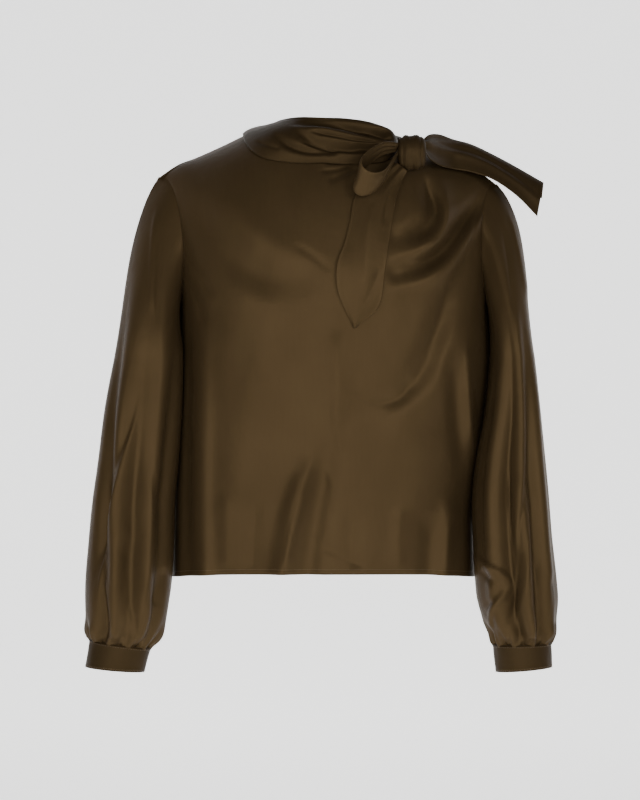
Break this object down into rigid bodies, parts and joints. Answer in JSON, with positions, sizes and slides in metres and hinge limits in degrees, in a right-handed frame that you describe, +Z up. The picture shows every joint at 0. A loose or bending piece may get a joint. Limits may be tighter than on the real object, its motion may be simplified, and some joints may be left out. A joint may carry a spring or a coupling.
{
  "type": "tie neck blouse",
  "caption": "Worn-form satin blouse, hollow and open at hem, neck and cuffs, with a soft folded collar knotted in a side bow, long gathered sleeves and buttoned cuffs.",
  "frame": {"origin": "midway between the two shoulder seams, on the shoulder line, where a wearer's shoulders hold the blouse up", "axes": "+Z up from hem to collar, -Y is the way the front faces, +X the wearer's left"},
  "size_m": [0.5835, 0.2597, 0.6831],
  "materials": {
    "satin": "olive brown satin with a soft sheen",
    "button": "dark brown, lightly polished"
  },
  "bodies": {
    "root": {"front": "satin", "back": "satin", "collar": "satin", "sleeve_right": "satin", "sleeve_left": "satin", "cuff_right": "satin", "cuff_left": "satin", "tie_knot": "satin", "tie_loop": "satin", "tie_tail_front": "satin", "tie_tail_shoulder": "satin", "cuff_button_right": "button", "cuff_button_left": "button"}
  },
  "joints": []
}
